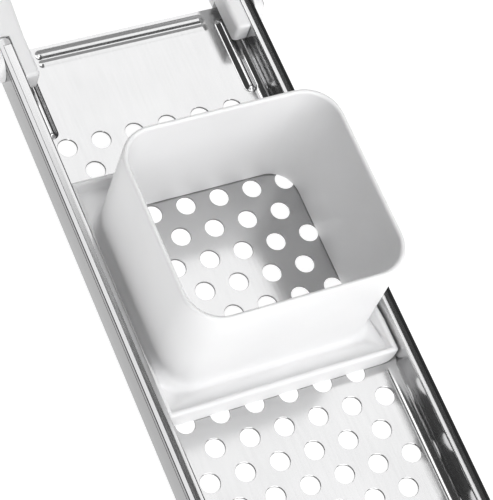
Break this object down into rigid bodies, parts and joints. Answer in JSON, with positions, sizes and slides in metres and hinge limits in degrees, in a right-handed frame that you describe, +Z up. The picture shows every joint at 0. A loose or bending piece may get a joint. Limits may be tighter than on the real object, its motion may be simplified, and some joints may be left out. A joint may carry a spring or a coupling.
{
  "type": "spaetzle maker",
  "caption": "Hand-held spaetzle maker: perforated steel pan with side rails, sliding square hopper, loop handle and a front end bar with a pot-rim notch.",
  "frame": {"origin": "middle of the footprint, on the surface that the pan lies on", "axes": "+X across the pan, +Y along the pan to the handle, +Z up, out of the hopper's mouth"},
  "size_m": [0.1176, 0.399, 0.0608],
  "materials": {
    "pan_steel": "bright satin stainless steel",
    "rail_steel": "polished stainless steel",
    "rivet_steel": "satin stainless steel",
    "white_plastic": "satin white moulding",
    "hopper_plastic": "satin white moulding"
  },
  "bodies": {
    "frame": {"pan_floor": "pan_steel", "pan_wall_left": "pan_steel", "pan_wall_right": "pan_steel", "rail_left": "rail_steel", "rail_right": "rail_steel", "handle": "white_plastic", "handle_rivets": "rivet_steel", "end_bar": "white_plastic", "end_bar_rivets": "rivet_steel"},
    "slide": {"hopper_slide": "hopper_plastic"}
  },
  "joints": [
    {"name": "hopper_travel", "type": "slide", "parent": "frame", "child": "slide", "axis": [0, 1, 0], "range_m": [-0.1235, 0.024]}
  ]
}
